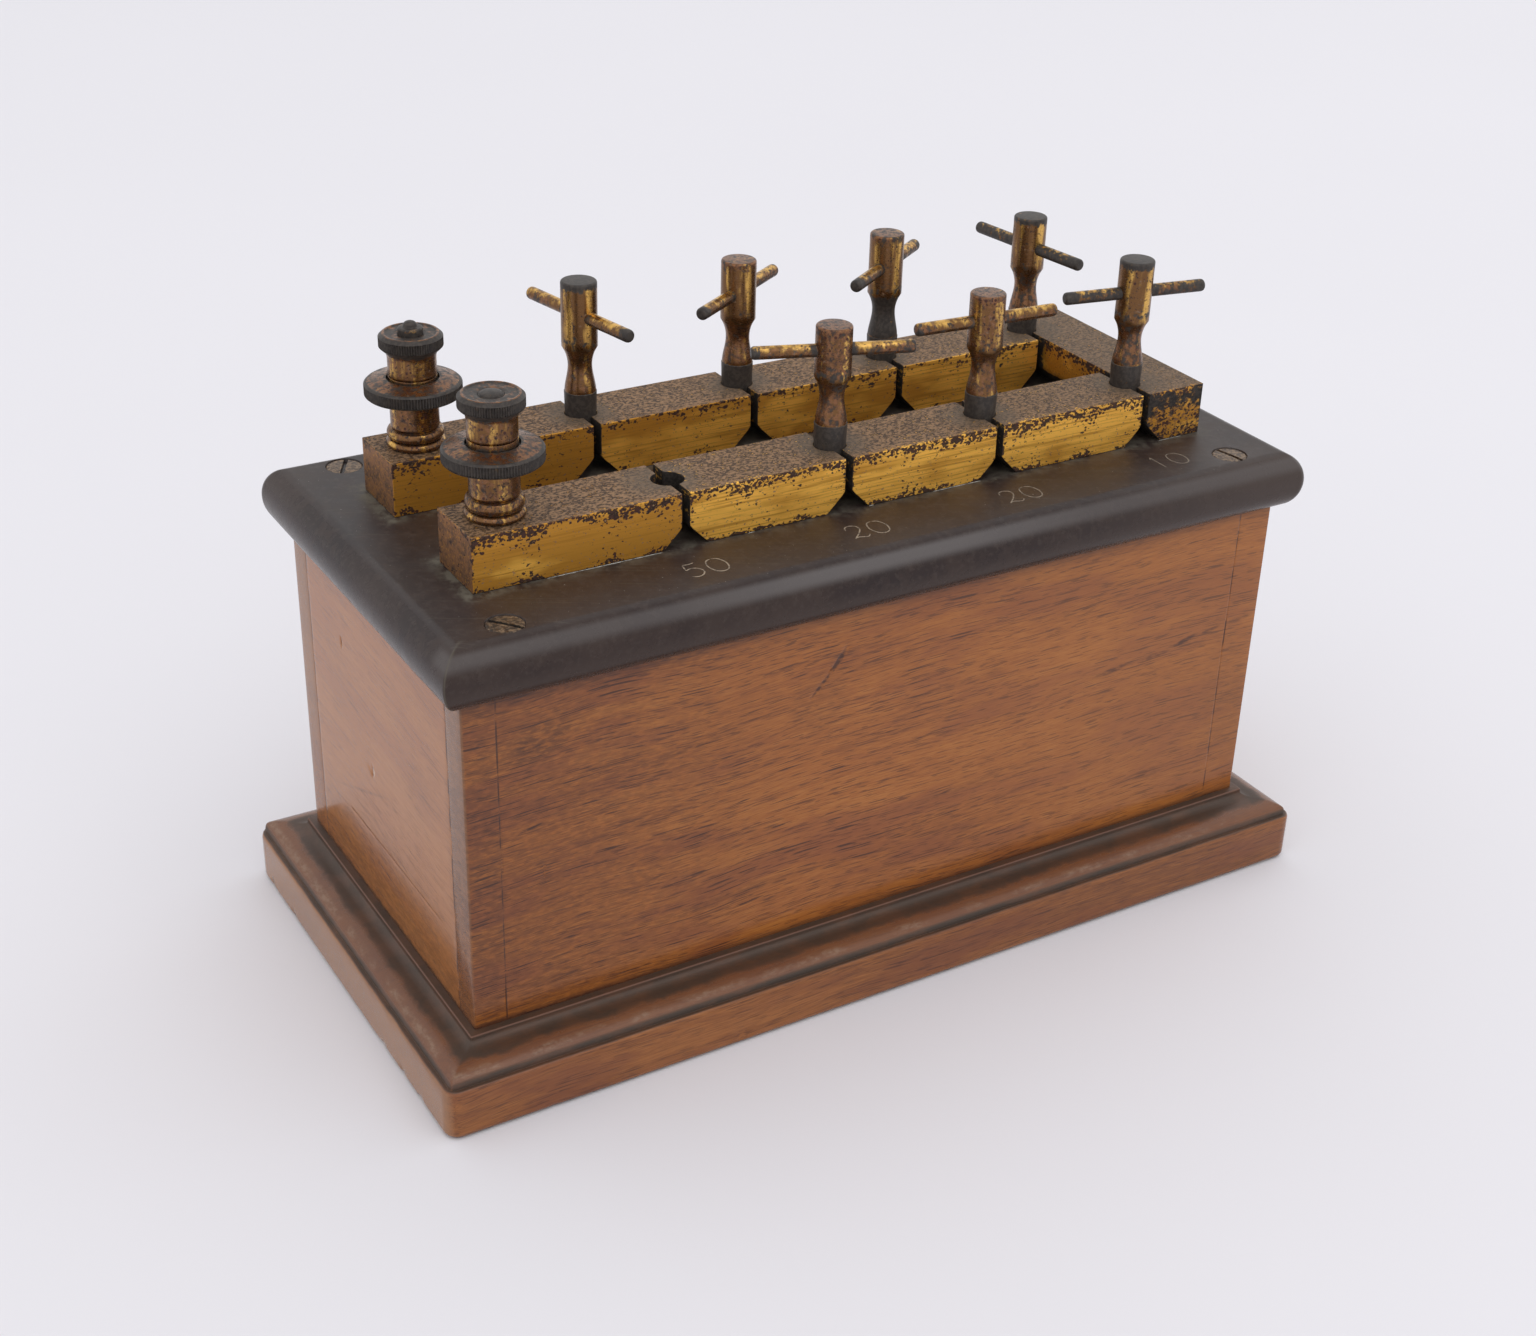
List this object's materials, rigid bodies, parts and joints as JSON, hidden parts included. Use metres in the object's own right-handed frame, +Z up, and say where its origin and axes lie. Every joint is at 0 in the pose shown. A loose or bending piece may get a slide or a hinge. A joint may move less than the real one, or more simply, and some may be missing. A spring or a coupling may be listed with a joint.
{
  "type": "resistance box",
  "caption": "Plug resistance box: moulded mahogany case, ebonite top, rows of brass contact blocks with taper plugs in the gaps, and two screw terminals.",
  "frame": {"origin": "middle of the plinth's underside", "axes": "+X along the case from the terminals to the bridge, +Y from front to rear, +Z up"},
  "size_m": [0.2178, 0.1106, 0.1441],
  "materials": {
    "mahogany": "polished mahogany with worn edges",
    "ebonite": "satin hard rubber, browned by age",
    "brass_bar": "brushed brass with dark spots and a mottled top",
    "brass_patina": "turned brass with brown-black patina",
    "screw_brass": "dull brass",
    "boxwood": "turned boxwood",
    "resistance_wire": "resistance wire in green silk"
  },
  "bodies": {
    "box": {"plinth_board": "mahogany", "front_wall": "mahogany", "rear_wall": "mahogany", "left_end_wall": "mahogany", "right_end_wall": "mahogany", "top_panel": "ebonite", "top_screws": "screw_brass", "base_screws": "screw_brass", "block_screws": "screw_brass", "post_nuts": "screw_brass", "bobbin_screws": "screw_brass", "front_block_1": "brass_bar", "front_block_2": "brass_bar", "front_block_3": "brass_bar", "front_block_4": "brass_bar", "rear_block_1": "brass_bar", "rear_block_2": "brass_bar", "rear_block_3": "brass_bar", "rear_block_4": "brass_bar", "end_bridge": "brass_bar", "front_terminal_post": "brass_patina", "rear_terminal_post": "brass_patina", "coil_bobbins": "boxwood", "front_winding_1": "resistance_wire", "front_winding_2": "resistance_wire", "front_winding_3": "resistance_wire", "front_winding_4": "resistance_wire", "rear_winding_1": "resistance_wire", "rear_winding_2": "resistance_wire", "rear_winding_3": "resistance_wire", "rear_winding_4": "resistance_wire", "coil_leads": "resistance_wire"},
    "front_plug_2": {"front_plug_2": "brass_patina", "front_plug_pin_2": "brass_patina"},
    "front_plug_3": {"front_plug_3": "brass_patina", "front_plug_pin_3": "brass_patina"},
    "front_plug_4": {"front_plug_4": "brass_patina", "front_plug_pin_4": "brass_patina"},
    "front_clamp_washer": {"front_clamp_washer": "brass_patina"},
    "front_clamp_nut": {"front_clamp_nut": "brass_patina"},
    "front_cap_washer": {"front_cap_washer": "brass_patina"},
    "front_cap_nut": {"front_cap_nut": "brass_patina"},
    "rear_plug_1": {"rear_plug_1": "brass_patina", "rear_plug_pin_1": "brass_patina"},
    "rear_plug_2": {"rear_plug_2": "brass_patina", "rear_plug_pin_2": "brass_patina"},
    "rear_plug_3": {"rear_plug_3": "brass_patina", "rear_plug_pin_3": "brass_patina"},
    "rear_plug_4": {"rear_plug_4": "brass_patina", "rear_plug_pin_4": "brass_patina"},
    "rear_clamp_washer": {"rear_clamp_washer": "brass_patina"},
    "rear_clamp_nut": {"rear_clamp_nut": "brass_patina"},
    "rear_cap_washer": {"rear_cap_washer": "brass_patina"},
    "rear_cap_nut": {"rear_cap_nut": "brass_patina"}
  },
  "joints": [
    {"name": "front_plug_2_lift", "type": "slide", "parent": "box", "child": "front_plug_2", "axis": [0, 0, 1], "range_m": [0, 0.025]},
    {"name": "front_plug_3_lift", "type": "slide", "parent": "box", "child": "front_plug_3", "axis": [0, 0, 1], "range_m": [0, 0.025]},
    {"name": "front_plug_4_lift", "type": "slide", "parent": "box", "child": "front_plug_4", "axis": [0, 0, 1], "range_m": [0, 0.025]},
    {"name": "front_clamp_rise", "type": "slide", "parent": "box", "child": "front_clamp_washer", "axis": [0, 0, 1], "range_m": [0, 0.005]},
    {"name": "front_clamp_turn", "type": "hinge", "parent": "front_clamp_washer", "child": "front_clamp_nut", "pos_m": [-0.0787, -0.01935, 0.1211], "axis": [0, 0, 1], "range_deg": [0, 1800]},
    {"name": "front_cap_rise", "type": "slide", "parent": "front_clamp_nut", "child": "front_cap_washer", "axis": [0, 0, 1], "range_m": [0, 0.004]},
    {"name": "front_cap_turn", "type": "hinge", "parent": "front_cap_washer", "child": "front_cap_nut", "pos_m": [-0.0787, -0.01935, 0.1211], "axis": [0, 0, 1], "range_deg": [0, 1440]},
    {"name": "rear_plug_1_lift", "type": "slide", "parent": "box", "child": "rear_plug_1", "axis": [0, 0, 1], "range_m": [0, 0.025]},
    {"name": "rear_plug_2_lift", "type": "slide", "parent": "box", "child": "rear_plug_2", "axis": [0, 0, 1], "range_m": [0, 0.025]},
    {"name": "rear_plug_3_lift", "type": "slide", "parent": "box", "child": "rear_plug_3", "axis": [0, 0, 1], "range_m": [0, 0.025]},
    {"name": "rear_plug_4_lift", "type": "slide", "parent": "box", "child": "rear_plug_4", "axis": [0, 0, 1], "range_m": [0, 0.025]},
    {"name": "rear_clamp_rise", "type": "slide", "parent": "box", "child": "rear_clamp_washer", "axis": [0, 0, 1], "range_m": [0, 0.005]},
    {"name": "rear_clamp_turn", "type": "hinge", "parent": "rear_clamp_washer", "child": "rear_clamp_nut", "pos_m": [-0.0787, 0.01935, 0.1211], "axis": [0, 0, 1], "range_deg": [0, 1800]},
    {"name": "rear_cap_rise", "type": "slide", "parent": "rear_clamp_nut", "child": "rear_cap_washer", "axis": [0, 0, 1], "range_m": [0, 0.004]},
    {"name": "rear_cap_turn", "type": "hinge", "parent": "rear_cap_washer", "child": "rear_cap_nut", "pos_m": [-0.0787, 0.01935, 0.1211], "axis": [0, 0, 1], "range_deg": [0, 1440]}
  ],
  "couplings": [
    {"joint": "front_clamp_rise", "follows": "front_clamp_turn", "m_per_rad": 0.00015915},
    {"joint": "front_cap_rise", "follows": "front_cap_turn", "m_per_rad": 0.00015915},
    {"joint": "rear_clamp_rise", "follows": "rear_clamp_turn", "m_per_rad": 0.00015915},
    {"joint": "rear_cap_rise", "follows": "rear_cap_turn", "m_per_rad": 0.00015915}
  ]
}
